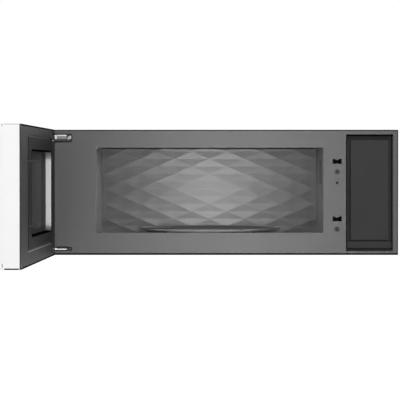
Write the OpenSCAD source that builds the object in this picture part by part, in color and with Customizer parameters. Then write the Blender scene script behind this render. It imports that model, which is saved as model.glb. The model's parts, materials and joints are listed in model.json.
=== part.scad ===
// Low-profile over-the-range microwave oven, with its door swung open on its left hinges.
// Origin at the middle of the rear mounting face; +X right, +Y to the wall, +Z up; millimetres.
// The door's parts are drawn shut, in the door's own frame, and then swung about the hinge pins.

/* [Cabinet] */
// Width of the cabinet
body_w = 759; // [750:1:770]
// Height of the cabinet
body_h = 270; // [268:1:284]
// Depth from the wall to the front face
body_d = 420; // [415:1:440]
// Thickness of the cabinet's sheet steel
sheet = 1.2; // [0.8:0.1:1.6]
// Thickness of the front frame
frame_t = 1.5; // [1:0.1:2]
// Depth of the flange round the front frame
frame_flange = 14; // [8:1:20]
// Space between the back panel and the wall, for the wall plate
wall_gap = 8; // [7:0.5:10]
// Height of the black trim under the front frame
trim_h = 4; // [3:0.5:6]

/* [Oven] */
// Front face left of the oven mouth
mouth_left = 108.3; // [100:0.1:115]
// Front face right of the oven mouth, in front of the service space
mouth_right = 161.5; // [158:0.1:168]
// Front face below the oven mouth
mouth_below = 48; // [46:0.1:52]
// Front face above the oven mouth
mouth_above = 38.6; // [38:0.1:44]
// Drop from the mouth's lower edge to the oven floor
floor_drop = 10; // [8:0.5:11]
// Depth from the front face to the back of the oven
oven_d = 335; // [333:1:338]
// Radius of the oven's corners
oven_r = 5; // [3:1:20]
// Radius of the mouth's corners
mouth_r = 2; // [1:0.5:5]
// Thickness of the oven's sheet
oven_t = 1; // [0.8:0.1:1.2]
// Half the width of one pressed diamond of the oven's back
diamond_w = 40; // [30:1:60]
// Half the height of one pressed diamond
diamond_h = 17.15; // [14:0.05:24]
// Depth of the pressed diamonds
diamond_d = 1.5; // [1:0.5:5]

/* [Turntable] */
// Radius of the glass tray
tray_r = 156; // [150:1:158]
// Distance from the front face to the tray's middle
tray_back = 168; // [166:1:169]
// Radius of the round dish pressed in the oven floor
dish_r = 118; // [114:1:122]
// Depth of that dish
dish_d = 5; // [4:0.5:6]
// Radius of the rollers under the tray
roller_r = 7; // [6.5:0.1:7.5]
// Distance of the rollers from the middle
roller_orbit = 100; // [96:1:102]
// Diameter of the turntable shaft
shaft_d = 7; // [6:0.1:8]

/* [Latch and control side] */
// Distance of the latch slots from the cabinet's right side
latch_side = 131.5; // [130:0.5:133]
// Heights of the two latch slots
latch_z = [67.1, -57];
// Width of a latch slot
slot_w = 19; // [17:0.5:20]
// Height of a latch slot
slot_h = 11; // [10:0.5:13]
// Drop from a latch slot to the round screw below it
screw_drop = 22.6; // [20:0.1:26]
// Diameter of the round screw heads
screw_d = 10.5; // [8:0.5:12]
// Height of the small door sensing pin
sense_z = 20.4; // [15:0.1:26]
// Diameter of the small door sensing pin
sense_d = 5.6; // [4:0.1:7]
// Width of the control pocket
pocket_w = 101.6; // [98:0.1:104]
// Front face right of the control pocket
pocket_side = 10.6; // [8:0.1:12]
// Front face below and above the control pocket
pocket_rims = [9, 10.7];
// Depth of the control pocket
pocket_d = 22; // [16:1:30]

/* [Door] */
// Thickness of the door
door_t = 40; // [38:1:44]
// Gap between the shut door and the front face
door_gap = 3; // [2.5:0.1:4]
// How far the door is narrower than the cabinet, each side
door_inset = 1; // [0.5:0.1:2]
// Angle of the open door from shut
door_angle = 91.3; // [0:0.1:110]
// Hinge pin: distance from the cabinet's left side, and distance in front of the face
pivot = [8, 14];
// Diameter of the hinge pins
pin_d = 8; // [7:0.1:9]
// Radial clearance of every running fit
fit = 0.05; // [0.02:0.01:0.08]
// Thickness of the door's white walls
shell_t = 2.5; // [2:0.1:3]
// Thickness of the door's front panel
panel_t = 4; // [3:0.1:5]
// Door left and right of the window, from the hinge edge and from the free edge
window_sides = [100, 197];
// Door below and above the window
window_rims = [55, 47];
// Radius of the window's corners
window_r = 19; // [10:1:20]
// Depth of the window behind the door's inner face
window_back = 19; // [17:0.5:20]
// Door left and right of the raised choke cover, from the hinge edge and from the free edge
choke_sides = [91, 142];
// Door below and above the raised choke cover
choke_rims = [32, 22];
// Depth of the open lower edge that the fingers pull
grip_d = 18; // [14:1:22]

/* [Vent] */
// How far a grease filter reaches past the oven's side
filter_past = 30.4; // [20:0.1:32]
// Depth of a grease filter, front to back
filter_l = 140; // [120:1:150]
// Thickness of a grease filter
filter_t = 9; // [8:0.5:10]
// Width of the duct outlet
duct_w = 254; // [240:1:260]
// Depth of the duct outlet, front to back
duct_l = 70; // [60:1:72]
// Radius of a vent wheel
vent_r = 29; // [26:0.5:29]
// Number of blades of a vent wheel
vent_blades = 24; // [12:1:30]

/* [Hidden] */
$fn = 64;

// Smallest gap between pieces that don't touch, and the overlap that makes two shapes one
seat = 0.3;
bite = 0.5;

// Planes of the cabinet
face_y = -body_d;
face_back = face_y + frame_t;
left_x = -body_w / 2;
inner_x = body_w / 2 - sheet;
top_z = body_h / 2;
base_z = -body_h / 2;
floor_z = base_z + sheet;
roof_z = top_z - sheet;
back_y = -wall_gap;
rear_y = back_y - sheet;

// The oven's inside
oven_x = [left_x + mouth_left, body_w / 2 - mouth_right];
mouth_zs = [base_z + mouth_below, top_z - mouth_above];
mouth_x = middle(oven_x);
mouth_z = middle(mouth_zs);
oven_z = [mouth_zs[0] - floor_drop, mouth_zs[1] + 1];
oven_back_y = face_y + oven_d;
oven_floor = oven_z[0];
oven_flange = 9;

// The turntable stack, from the dish up
tray_x = mouth_x;
tray_y = face_y + tray_back;
dish_floor = oven_floor - dish_d;
roller_z = dish_floor + roller_r + seat;
tray_z = roller_z + roller_r + seat;
tray_rim = 8.5;
tray_t = 5;

// The service space at the right of the oven
service_x = oven_x[1] + oven_t;
guide_d = 22;
guide_y = [face_y + 75, face_y + 165];
guide_z = [mouth_zs[1] - 96.4, mouth_zs[1] - 6.4];
tube_x = service_x + guide_d;
tube_y = (guide_y[0] + guide_y[1]) / 2;
tube_z = (guide_z[0] + guide_z[1]) / 2;

// The vent space behind the oven
vent_y = (oven_back_y + oven_t + rear_y) / 2;
vent_z = 22;
vent_gap = 1.2;
scroll_r = min(vent_r + 5, (rear_y - oven_back_y - oven_t) / 2 - vent_gap);
scroll_w = 84;
scroll_x = 76;
duct_y = rear_y - 3;

// Door planes in the door's own frame: X from the hinge edge, -Y outward, Z up
door_w = body_w - 2 * door_inset;
door_h = body_h;
free_r = 22;
latch_x = body_w / 2 - latch_side;
cover_t = 1.8;
chassis_t = 1.2;
chassis_y = -cover_t - chassis_t;
rim = 3.5;
hook_s = latch_x - slot_w / 4 - left_x - door_inset;
hook_t = 3;
hook_reach = 20;
window_x = [window_sides[0], door_w - window_sides[1]];
window_z = [-door_h / 2 + window_rims[0], door_h / 2 - window_rims[1]];
choke_x = [choke_sides[0], door_w - choke_sides[1]];
choke_z = [-door_h / 2 + choke_rims[0], door_h / 2 - choke_rims[1]];

// Roof: bolts to the cabinet above, and the hole of the cord bushing
roof_bolt_side = 89.5;
roof_bolt_x = [left_x + roof_bolt_side, body_w / 2 - roof_bolt_side];
roof_bolt_y = face_y + 60;
roof_bolt_d = 7;
cord_x = body_w / 2 - 59.5;
cord_y = -60;
cord_hole_d = 24;

// Floor pan: filters, lamps and the louvres under the service space
pan_lip = 15;
filter_side = 45;
filter_w = size(oven_x) / 2 + filter_past - filter_side;
filter_y = [face_y + 120, face_y + 120 + filter_l];
filter_ledge = 4;
lamp_x = [mouth_x - 163, mouth_x + 163];
lamp_y = [face_y + 35, face_y + 75];
lamp_w = 100;
lens_t = 3;
louvre_n = 9;
louvre_x = service_x - 8;
louvre_pitch = 14;

// Wall plate, its stud holes, and the hooks that pass through the back panel
plate_t = 1.5;
plate_w = body_w - 29;
plate_z = [base_z + 25, top_z - 25];
stud_pitch = 406.4;
stud_rise = size(plate_z) - 40;
stud_d = 7;
hook_tab_x = [-plate_w / 2 + 115, plate_w / 2 - 175];
hook_tab_w = 60;
hook_tab_z = base_z + 18;
hook_tab_h = 10;
hook_slot_z = [hook_tab_z - hook_tab_h - 1, hook_tab_z + plate_t + seat];

// Front frame and control pocket
frame_screw_d = 5;
pocket_x = [body_w / 2 - pocket_side - pocket_w, body_w / 2 - pocket_side];
pocket_z = [base_z + pocket_rims[0], top_z - pocket_rims[1]];
pocket_wall = 2;
pocket_border = 9.5;
pocket_ledge = 23;

// Oven: wave guide port, lamp holes and the grid of pressed diamonds
guide_port_y = grow(guide_y, -12);
guide_port_z = grow(guide_z, -25);
lamp_hole_y = face_y + 215;
lamp_hole_z = mouth_zs[1] - 46.4;
vent_hole_z = mouth_zs[1] - 51.4;
grid_i = ceil(size(oven_x) / 2 / diamond_w);
grid_j = ceil((size(mouth_zs) / 2 + floor_drop) / diamond_h) + 1;
ridge_y = oven_back_y - diamond_d - oven_t;

// Service space: microwave tube, transformer, capacitor, cooling fan and filter board
yoke_l = 74;
yoke_y = 80;
yoke_z = 84;
fin_n = 7;
core_w = 100;
core_l = 80;
core_h = 82;
core_x = [service_x + 46, service_x + 46 + core_w];
core_y = [oven_back_y - core_l - 5, oven_back_y - 5];
core_leg = 17;
cap_w = 50;
cap_l = 100;
cap_h = 32;
cap_x = [service_x + 49, service_x + 49 + cap_w];
cap_y = [core_y[0] - 10 - cap_l, core_y[0] - 10];
fan_x = service_x + 83;
fan_z = tube_z;
fan_y = [tube_y + 58, tube_y + 92];
fan_r = 46;
fan_box = 52;
fan_shaft_d = 5;
board_w = 90;
board_h = 80;
board_x = [service_x + 43, service_x + 43 + board_w];
board_z = [0, board_h];
board_post = 12;

// Vent motor and wheels, and the duct outlet with its flap
scroll_top = roof_z - 24;
motor_w = 2 * (scroll_x - scroll_w / 2) - 16;
motor_d = 50;
vent_shaft_d = 8;
vent_shaft_l = 2 * scroll_x + 70;
wheel_w = 68;
blade_depth = 8;
duct_z = [roof_z - 22, roof_z];
flap_t = 1.2;
flap_pin_d = 4;
flap_y = duct_y - 5;
flap_z = duct_z[0] + 5;

// Turntable drive
tt_motor_r = 24.5;
tt_motor_h = 16;
coupler_z = [dish_floor + 1, tray_z - seat];
axle_d = 4;
ring_r = [80, 88];
roller_w = 8;

// Latch board, switches and their pins
board_d = 34;
catch_w = slot_w + 4;
plunger_d = 5;
plunger_travel = 2;
switch_y = face_back + board_d;

// Hinges
pivot_x = left_x + pivot[0];
pivot_y = face_y - pivot[1];
leaf_t = 2;
flange_t = 2;
flange_l = 54;
flange_h = [14, 5];
leaf_z = [top_z - 25, base_z + 15.3];
pin_l = 14;
bush_d = pin_d + 4;
bush_l = pin_l + 1;
bush_z = [leaf_z[0] - seat - bush_l, leaf_z[1] + seat];

// Door: panel, glasses, finger grip, latch slider and the layers of the window
panel_y = -door_t + panel_t;
glass_x = [window_x[0] - 50, window_x[1] + 30];
glass_z = [-door_h / 2 + 23, door_h / 2 - 23];
control_x = [choke_x[1] + 15, door_w - 18];
grip_x = [control_x[0] - 60, door_w - 40];
bar_x = [hook_s - hook_t / 2 - 2, hook_s + hook_t / 2 + 2];
bar_y = [-28, -20];
choke_t = 1;
choke_step = -window_back + 8;
gasket_t = 7;
pane_t = 2;

function grow(span, by) = [span[0] - by, span[1] + by];
function middle(span) = (span[0] + span[1]) / 2;
function size(span) = span[1] - span[0];

// A box from its spans along the three axes
module block(x, y, z) {
    translate([x[0], y[0], z[0]])
        cube([size(x), size(y), size(z)]);
}

// A flat outline drawn in X and Z, standing from y to y + t
module standing(y, t) {
    translate([0, y + t, 0])
        rotate([90, 0, 0])
            linear_extrude(t)
                children();
}

// A rectangle with round corners
module rounded(x, z, r) {
    translate([x[0] + r, z[0]])
        square([size(x) - 2 * r, size(z)]);
    translate([x[0], z[0] + r])
        square([size(x), size(z) - 2 * r]);
    for (cx = [x[0] + r, x[1] - r], cz = [z[0] + r, z[1] - r])
        translate([cx, cz])
            circle(r);
}

// A rod along +X, +Y or +Z from a point
module rod(at, d, length, along = "z") {
    translate(at)
        rotate(along == "x" ? [0, 90, 0] : along == "y" ? [-90, 0, 0] : [0, 0, 0])
            cylinder(d = d, h = length);
}

// The outline of one latch slot: two lobes with a deep notch above and a shallow one below
module slot_outline(z) {
    w = slot_w / 2;
    h = slot_h / 2;
    translate([latch_x, z])
        polygon([[-w, h], [-0.8 * w, h], [0, 0.42 * h], [0.8 * w, h], [w, h],
            [w, -h], [0.2 * w, -h], [0, -0.7 * h], [-0.2 * w, -h], [-w, -h]]);
}

module cabinet_wrap() color([0.33, 0.33, 0.34]) difference() {
    block([left_x, body_w / 2], [face_y, back_y], [base_z, top_z]);
    block([-inner_x, inner_x], [face_y - 1, back_y + 1], [base_z - 1, roof_z]);
    block([-duct_w / 2, duct_w / 2], [duct_y - duct_l, duct_y], [roof_z - 1, top_z + 1]);
    for (x = roof_bolt_x)
        rod([x, roof_bolt_y, roof_z - 1], roof_bolt_d, sheet + 2);
    rod([cord_x, cord_y, roof_z - 1], cord_hole_d, sheet + 2);
}

// The floor pan, turned up at the sides and back, with its openings for filters, lamps and air
function filter_x(side) = side < 0
    ? [mouth_x - filter_side - filter_w, mouth_x - filter_side]
    : [mouth_x + filter_side, mouth_x + filter_side + filter_w];
module base_pan() color([0.55, 0.55, 0.55]) {
    difference() {
        union() {
            block([-inner_x, inner_x], [face_y + 12, rear_y], [base_z, floor_z]);
            for (x = [-inner_x, inner_x - sheet])
                block([x, x + sheet], [face_y + 16, rear_y], [base_z, base_z + pan_lip]);
            block([-inner_x, inner_x], [rear_y - sheet, rear_y], [base_z, base_z + pan_lip]);
        }
        for (side = [-1, 1])
            block(grow(filter_x(side), -filter_ledge), grow(filter_y, -filter_ledge),
                [base_z - 1, floor_z + 1]);
        for (x = lamp_x)
            block([x - lamp_w / 2, x + lamp_w / 2], lamp_y, [base_z - 1, floor_z + 1]);
        for (k = [0 : louvre_n - 1])
            block([louvre_x + louvre_pitch * k, louvre_x + louvre_pitch * k + 4],
                [face_y + 40, face_y + 100], [base_z - 1, floor_z + 1]);
        for (x = hook_tab_x)
            block([x - 1, x + hook_tab_w + 1], [rear_y - 2 * sheet, rear_y + 1], hook_slot_z);
    }
    for (side = [-1, 1], edge = [0, 1])
        filter_rail(side, edge);
}

// A Z-shaped rail that keeps a grease filter down on its ledge
module filter_rail(side, edge) {
    x = edge == 0 ? filter_x(side)[0] - seat : filter_x(side)[1] + seat;
    dir = edge == 0 ? 1 : -1;
    post = edge == 0 ? [x - sheet, x] : [x, x + sheet];
    reach = edge == 0 ? [x - sheet, x + 6] : [x - 6, x + sheet];
    block(post, grow(filter_y, -10), [floor_z - bite, floor_z + filter_t + seat + sheet]);
    block(reach, grow(filter_y, -10), [floor_z + filter_t + seat, floor_z + filter_t + seat + sheet]);
}

// The tabs of the wall plate pass through the back panel here
module back_panel() color([0.6, 0.6, 0.6]) difference() {
    block([-inner_x, inner_x], [rear_y, back_y], [base_z, roof_z]);
    for (x = hook_tab_x)
        block([x - 1, x + hook_tab_w + 1], [rear_y - 1, back_y + 1], hook_slot_z);
    for (x = [-300 : 20 : -200])
        rod([x, rear_y - 1, 90], 6, sheet + 2, "y");
}

// The plate screwed to the wall, with its middle cut out and two hooks that carry the cabinet
module wall_plate() color([0.62, 0.63, 0.64]) difference() {
    union() {
        difference() {
            standing(-plate_t, plate_t)
                rounded([-plate_w / 2, plate_w / 2], plate_z, 8);
            standing(-plate_t - 1, plate_t + 2)
                rounded([-150, 150], grow(plate_z, -45), 10);
        }
        for (x = hook_tab_x) {
            block([x, x + hook_tab_w], [-plate_t, 0], [hook_tab_z, plate_z[0] + 10]);
            block([x, x + hook_tab_w], [rear_y - sheet - 4, 0], [hook_tab_z, hook_tab_z + plate_t]);
            block([x, x + hook_tab_w], [rear_y - sheet - 4, rear_y - sheet - 4 + plate_t],
                [hook_tab_z, hook_tab_z + hook_tab_h]);
        }
    }
    for (x = [-stud_pitch / 2, stud_pitch / 2], z = [-stud_rise / 2, stud_rise / 2])
        rod([x, -plate_t - 1, z], stud_d, plate_t + 2, "y");
}

// The pressed steel front, with a flange turned back all round
module front_frame() color([0.4, 0.4, 0.4]) difference() {
    frame_z = [base_z + trim_h, roof_z];
    union() {
        standing(face_y, frame_t)
            rounded([-inner_x, inner_x], frame_z, 2);
        for (x = [-inner_x, inner_x - frame_t])
            block([x, x + frame_t], [face_y + frame_t - bite, face_y + frame_flange], grow(frame_z, -2));
        for (z = [frame_z[0], frame_z[1] - frame_t])
            block(grow([-inner_x, inner_x], -2), [face_y + frame_t - bite, face_y + frame_flange],
                [z, z + frame_t]);
    }
    standing(face_y - 1, frame_t + 2) {
        rounded(oven_x, mouth_zs, mouth_r);
        for (z = latch_z) {
            slot_outline(z);
            translate([latch_x, z - screw_drop])
                circle(d = frame_screw_d + 0.4);
        }
        translate([latch_x, sense_z])
            circle(d = sense_d + 2 * fit);
        rounded(pocket_x, pocket_z, 4);
    }
}

module bottom_trim() color([0.05, 0.05, 0.05])
    block([-inner_x, inner_x], [face_y, face_y + 12], [base_z, base_z + trim_h]);

// The black tray at the right of the front frame, with a raised flat panel and a lower ledge
module control_pocket() color([0.12, 0.12, 0.12]) {
    px = grow(pocket_x, -seat);
    pz = grow(pocket_z, -seat);
    difference() {
        standing(face_y, pocket_d)
            rounded(px, pz, 4 - seat);
        standing(face_y - 1, pocket_d + 1 - pocket_wall)
            rounded(grow(px, -pocket_wall), grow(pz, -pocket_wall), 2);
    }
    standing(face_y + 6, pocket_d - 6 - bite)
        rounded(grow(px, -pocket_border), [pz[0] + pocket_ledge, pz[1] - 11], 2);
    standing(face_y + 11, pocket_d - 11 - bite)
        rounded(grow(px, -pocket_wall + bite), [pz[0] + 5, pz[0] + pocket_ledge - 3], 2);
    standing(face_back, sheet)
        difference() {
            rounded(grow(pocket_x, 6), grow(pocket_z, 3), 5);
            rounded(grow(px, -bite), grow(pz, -bite), 3);
        }
}

// The oven's four walls in one wrap, with a front flange and the turntable's dish
module oven_shell() color([0.6, 0.6, 0.6]) difference() {
    union() {
        standing(face_back, oven_d - frame_t)
            rounded(grow(oven_x, oven_t), grow(oven_z, oven_t), oven_r + oven_t);
        standing(face_back, oven_t)
            rounded(grow(oven_x, oven_flange), grow(oven_z, oven_flange), oven_r + oven_flange);
        rod([tray_x, tray_y, dish_floor - oven_t], 2 * (dish_r + oven_t), dish_d + oven_t);
    }
    standing(face_back - 1, oven_d + 2)
        rounded(oven_x, oven_z, oven_r);
    rod([tray_x, tray_y, dish_floor], 2 * dish_r, dish_d + 1);
    rod([tray_x, tray_y, dish_floor - 5], shaft_d + 5, 10);
    block([oven_x[1] - 1, service_x + 1], guide_port_y, guide_port_z);
    for (j = [0 : 3], k = [0 : 4])
        rod([oven_x[1] - 1, lamp_hole_y + 8 * j, lamp_hole_z + 8 * k], 3.2, oven_t + 2, "x");
    for (j = [0 : 7], k = [0 : 3])
        rod([oven_x[0] - oven_t - 1, face_y + 90 + 10 * j, vent_hole_z + 10 * k], 4, oven_t + 2, "x");
}

// The oven's back: one sheet pressed into rows of shallow hollow diamonds.
// Even grid points lie on the ridges and odd ones at the bottom of a diamond.
function press(i, j) = abs(i + j) % 2 == 1 ? diamond_d : 0;
module oven_back() color([0.55, 0.55, 0.55]) intersection() {
    standing(ridge_y - 1, diamond_d + oven_t + 2)
        rounded(grow(oven_x, -0.1), grow(oven_z, -0.1), oven_r - 0.1);
    translate([mouth_x, ridge_y, mouth_z])
        pressed_sheet();
}
module pressed_sheet() {
    columns = 2 * grid_i + 1;
    rows = 2 * grid_j + 1;
    layer = columns * rows;
    front = [for (j = [-grid_j : grid_j], i = [-grid_i : grid_i]) [i * diamond_w, press(i, j), j * diamond_h]];
    rear = [for (p = front) [p[0], p[1] + oven_t, p[2]]];
    cells = [for (j = [0 : rows - 2], i = [0 : columns - 2])
        [i + j * columns, i + 1 + j * columns, i + 1 + (j + 1) * columns, i + (j + 1) * columns,
            abs(i + j - grid_i - grid_j) % 2]];
    faces = [for (c = cells) each c[4] == 0
        ? [[c[0], c[2], c[1]], [c[0], c[3], c[2]]]
        : [[c[0], c[3], c[1]], [c[1], c[3], c[2]]]];
    back_faces = [for (f = faces) [f[0] + layer, f[2] + layer, f[1] + layer]];
    edge = concat(
        [for (i = [0 : columns - 2]) [i, i + 1]],
        [for (j = [0 : rows - 2]) [columns - 1 + j * columns, columns - 1 + (j + 1) * columns]],
        [for (i = [columns - 1 : -1 : 1]) [i + (rows - 1) * columns, i - 1 + (rows - 1) * columns]],
        [for (j = [rows - 1 : -1 : 1]) [j * columns, (j - 1) * columns]]);
    sides = [for (e = edge) each [[e[0], e[1], e[1] + layer], [e[0], e[1] + layer, e[0] + layer]]];
    polyhedron(concat(front, rear), concat(faces, back_faces, sides));
}

module wave_guide_cover() color([0.75, 0.68, 0.55])
    block([oven_x[1] - 0.5, oven_x[1]], grow(guide_port_y, 8), grow(guide_port_z, 8));

// A closed sheet box from the oven's port to the microwave tube
module wave_guide() color([0.7, 0.7, 0.7]) difference() {
    block([service_x, tube_x], guide_y, guide_z);
    block([service_x - 1, tube_x - sheet], grow(guide_y, -sheet), grow(guide_z, -sheet));
    rod([tube_x - sheet - 1, tube_y, tube_z], 20, sheet + 2, "x");
}

// The microwave tube: a bent yoke round the anode, its antenna in the wave guide, and a filter box
module magnetron() color([0.72, 0.72, 0.74]) {
    magnetron_fins();
    y = [tube_y - yoke_y / 2, tube_y + yoke_y / 2];
    z = [tube_z - yoke_z / 2, tube_z + yoke_z / 2];
    difference() {
        block([tube_x, tube_x + yoke_l], y, z);
        block([tube_x + 2, tube_x + yoke_l - 2], grow(y, 1), grow(z, -2));
    }
    rod([tube_x - 16, tube_y, tube_z], 16, 20, "x");
    rod([tube_x + 1, tube_y, tube_z], 40, yoke_l - 2, "x");
    block([tube_x + yoke_l - bite, tube_x + yoke_l + 22], grow(y, -10), grow(z, -16));
}
module magnetron_fins()
    for (k = [0 : fin_n - 1])
        difference() {
            x = tube_x + 14 + k * (yoke_l - 30) / (fin_n - 1);
            block([x, x + 1], [tube_y - yoke_y / 2 + 3, tube_y + yoke_y / 2 - 3],
                [tube_z - yoke_z / 2 + 4, tube_z + yoke_z / 2 - 4]);
            rod([x - 1, tube_y, tube_z], 40, 3, "x");
        }

// The power transformer: a laminated core with a window for each half of its windings
module transformer_core() color([0.35, 0.35, 0.37]) difference() {
    z = [floor_z, floor_z + core_h];
    union() {
        block(core_x, core_y, z);
        block(grow(core_x, 6), grow(core_y, 2), [floor_z, floor_z + 3]);
    }
    for (x = [core_x[0] + core_leg, core_x[1] - 2 * core_leg])
        block([x, x + core_leg], grow(core_y, 3), grow(z, -core_leg));
}
module transformer_windings() color([0.6, 0.3, 0.15]) difference() {
    x = grow(core_x, -core_leg - seat);
    z = grow([floor_z, floor_z + core_h], -core_leg - seat);
    translate([0, core_y[0] - 10, 0])
        standing(0, size(core_y) + 20)
            rounded(x, z, 4);
    block(grow(core_x, -2 * core_leg + seat), grow(core_y, seat), grow(z, 1));
    block(grow(core_x, -2 * core_leg - 6), grow(core_y, 11), grow(z, -6));
}

// The oil-filled capacitor, an oval can lying in its strap
module capacitor() color([0.75, 0.75, 0.76]) {
    standing(cap_y[0], size(cap_y))
        rounded(cap_x, [floor_z, floor_z + cap_h], cap_h / 2 - 1);
    block([cap_x[1] - cap_h / 2, cap_x[1] + 8], [cap_y[0] + 40, cap_y[0] + 55], [floor_z, floor_z + 1.5]);
    for (x = [middle(cap_x) - 10, middle(cap_x) + 10])
        block([x - 3, x + 3], [cap_y[0] - 9, cap_y[0] + bite], [floor_z + 14, floor_z + 15]);
}
module diode() color([0.08, 0.08, 0.08]) {
    rod([cap_x[1] + 18, cap_y[0] + 10, floor_z + 5], 8, 24, "y");
    block([cap_x[1] + 14, cap_x[1] + 22], [cap_y[0] + 32, cap_y[0] + 44], [floor_z, floor_z + 1.5]);
    block([cap_x[1] + 17, cap_x[1] + 19], [cap_y[0] + 33, cap_y[0] + 35], [floor_z, floor_z + 6]);
}

// The cooling fan behind the tube, blowing forward over its fins
module cooling_fan_housing() color([0.2, 0.2, 0.2]) {
    difference() {
        standing(fan_y[0], size(fan_y))
            rounded([fan_x - fan_box, fan_x + fan_box], [fan_z - fan_box, fan_z + fan_box], 6);
        rod([fan_x, fan_y[0] - 1, fan_z], 2 * (fan_r + 2), size(fan_y) + 2, "y");
    }
    for (a = [0, 90])
        difference() {
            translate([fan_x, fan_y[1] - 3, fan_z])
                rotate([0, a, 0])
                    translate([-fan_r - 3, 0, -4])
                        cube([2 * fan_r + 6, 3, 8]);
            rod([fan_x, fan_y[1] - 4, fan_z], 10, 5, "y");
        }
    difference() {
        rod([fan_x, fan_y[1] - 3, fan_z], 44, 24, "y");
        rod([fan_x, fan_y[1] - 4, fan_z], fan_shaft_d + 2 * fit, 22, "y");
    }
    block([fan_x + fan_box - bite, inner_x], [fan_y[0], fan_y[0] + 2], [fan_z - 20, fan_z + 20]);
}
module cooling_fan_wheel() color([0.85, 0.85, 0.8]) {
    rod([fan_x, fan_y[0] + 4, fan_z], 22, 20, "y");
    rod([fan_x, fan_y[0] + 4, fan_z], fan_shaft_d, size(fan_y) + 10, "y");
    for (a = [0 : 72 : 288])
        translate([fan_x, fan_y[0] + 14, fan_z])
            rotate([0, a, 0])
                translate([9, 0, 0])
                    rotate([32, 0, 0])
                        translate([0, -1, -13])
                            cube([fan_r - 10, 2, 26]);
}

// The mains filter board, on four posts of the back panel
module filter_board() color([0.2, 0.4, 0.25]) {
    y = rear_y - board_post;
    block(board_x, [y - 1.6, y], board_z);
    for (x = grow(board_x, -6), z = grow(board_z, -6))
        rod([x, y - bite, z], 6, board_post + bite, "y");
    rod([middle(board_x) - 15, y - 22, 50], 28, 21, "y");
    block([board_x[0] + 12, board_x[0] + 24], [y - 14, y - 1], [12, 42]);
    block([board_x[1] - 34, board_x[1] - 14], [y - 16, y - 1], [10, 34]);
}
module thermostat() color([0.85, 0.82, 0.75]) {
    z = oven_z[1] + oven_t;
    rod([oven_x[1] - 60, face_y + 120, z], 16, 9);
    block([oven_x[1] - 72, oven_x[1] - 48], [face_y + 117, face_y + 123], [z, z + 1.2]);
}

// The oven lamp and its socket, behind the small holes of the right wall
module oven_lamp() color([0.9, 0.88, 0.8]) {
    y = lamp_hole_y + 12;
    z = lamp_hole_z + 16;
    rod([service_x + 4, y, z], 18, 16, "x");
    rod([service_x + 19, y, z], 24, 12, "x");
    difference() {
        block([service_x, service_x + 26], [y - 20, y + 20], [z - 24, z + 24]);
        block([service_x - 1, service_x + 24.8], grow([y - 20, y + 20], -sheet), grow([z - 24, z + 24], 1));
    }
}

// Two sheet scrolls, open at their round inlets and at the top, on one mounting foot
module scroll_outline(r) {
    circle(r);
    translate([-r, 0])
        square([1.35 * r, scroll_top - vent_z]);
}
module vent_blower_housing() color([0.65, 0.65, 0.66]) difference() {
    union() {
        for (x = [-scroll_x, scroll_x])
            translate([x - scroll_w / 2, vent_y, vent_z])
                rotate([90, 0, 90])
                    linear_extrude(scroll_w)
                        scroll_outline(scroll_r);
        block([-scroll_x - scroll_w / 2, scroll_x + scroll_w / 2], [vent_y + scroll_r - 3, rear_y],
            [vent_z - 12, vent_z + 12]);
    }
    for (x = [-scroll_x, scroll_x]) {
        translate([x - scroll_w / 2 + sheet, vent_y, vent_z])
            rotate([90, 0, 90])
                linear_extrude(scroll_w - 2 * sheet)
                    scroll_outline(scroll_r - sheet);
        translate([x - scroll_w / 2 + sheet, vent_y - scroll_r + sheet, scroll_top - 5])
            cube([scroll_w - 2 * sheet, 1.35 * (scroll_r - sheet), 10]);
        rod([x - scroll_w / 2 - 1, vent_y, vent_z], 2 * vent_r - 8, scroll_w + 2, "x");
    }
}

// The vent motor between the scrolls, with a shaft out of both ends and a foot on the back panel
module vent_motor() color([0.5, 0.5, 0.52]) {
    difference() {
        union() {
            rod([-motor_w / 2, vent_y, vent_z], motor_d, motor_w, "x");
            rod([-motor_w / 2 - 4, vent_y, vent_z], 20, motor_w + 8, "x");
        }
        rod([-motor_w / 2 - 5, vent_y, vent_z], vent_shaft_d + 2 * fit, motor_w + 10, "x");
    }
    difference() {
        block([-motor_w / 2 + 8, motor_w / 2 - 8], [vent_y, vent_y + scroll_r - 3], [vent_z - 10, vent_z + 10]);
        rod([-motor_w / 2, vent_y, vent_z], motor_d - 2, motor_w, "x");
    }
}
module vent_shaft() color([0.75, 0.75, 0.78])
    rod([-vent_shaft_l / 2, vent_y, vent_z], vent_shaft_d, vent_shaft_l, "x");

// Two cage wheels, each a back disc with a hub, a ring of curved-forward blades and an end ring
module vent_wheels() color([0.3, 0.3, 0.32])
    for (x = [-scroll_x, scroll_x])
        translate([x, vent_y, vent_z])
            rotate([0, 90, 0])
                vent_wheel();
module vent_wheel() {
    difference() {
        union() {
            translate([0, 0, -1])
                cylinder(r = vent_r, h = 2);
            translate([0, 0, -12])
                cylinder(d = vent_shaft_d + 8, h = 24);
        }
        translate([0, 0, -20])
            cylinder(d = vent_shaft_d, h = 40);
    }
    for (z = [-wheel_w / 2, wheel_w / 2 - 1.5])
        translate([0, 0, z])
            difference() {
                cylinder(r = vent_r, h = 1.5);
                translate([0, 0, -1])
                    cylinder(r = vent_r - blade_depth, h = 4);
            }
    for (k = [0 : vent_blades - 1])
        rotate(360 / vent_blades * k)
            translate([vent_r - blade_depth + 0.6, 0, -wheel_w / 2])
                rotate(28)
                    translate([0, -0.5, 0.5])
                        cube([blade_depth - 1.5, 1, wheel_w - 1]);
}

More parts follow.
